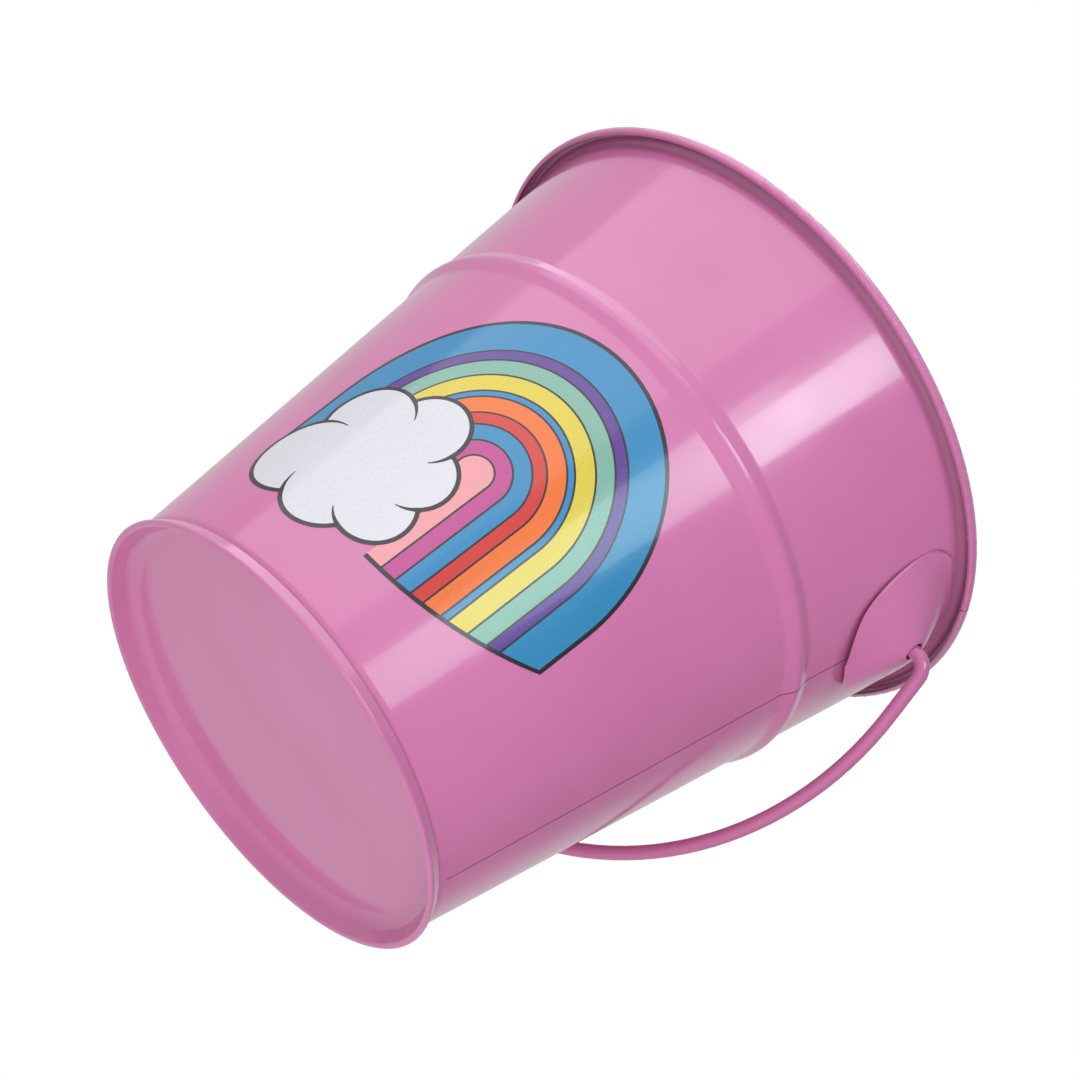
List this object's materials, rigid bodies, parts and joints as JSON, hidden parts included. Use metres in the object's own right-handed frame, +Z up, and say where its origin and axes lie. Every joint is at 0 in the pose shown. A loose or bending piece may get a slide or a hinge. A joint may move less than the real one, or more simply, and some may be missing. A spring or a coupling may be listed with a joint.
{
  "type": "sand bucket",
  "caption": "Small tapered tin pail with a rolled rim, a recessed base and a wire handle that swings on two domed ears.",
  "frame": {"origin": "centre of the foot plane, under the middle of the bucket", "axes": "+Z up the bucket's axis; +X through the ear over the side seam, along the handle's pivot axis; -Y is the printed front, +Y the back where the handle hangs"},
  "size_m": [0.1404, 0.13, 0.123],
  "materials": {
    "pink_enamel": "gloss",
    "wire_enamel": "gloss",
    "print_blue": "gloss",
    "print_purple": "gloss",
    "print_sage": "gloss",
    "print_yellow": "gloss",
    "print_orange": "gloss",
    "print_red": "gloss",
    "print_magenta": "gloss",
    "print_salmon": "gloss",
    "print_white": "gloss",
    "print_outline": "gloss"
  },
  "bodies": {
    "bucket": {"body_shell": "pink_enamel", "base_pan": "pink_enamel", "ear_right": "pink_enamel", "ear_left": "pink_enamel", "print_film": "print_blue"},
    "bail": {"bail_wire": "wire_enamel"}
  },
  "joints": [
    {"name": "bail_swing", "type": "hinge", "parent": "bucket", "child": "bail", "pos_m": [0, 0, 0.106], "axis": [1, 0, 0], "range_deg": [0, 280.4]}
  ]
}
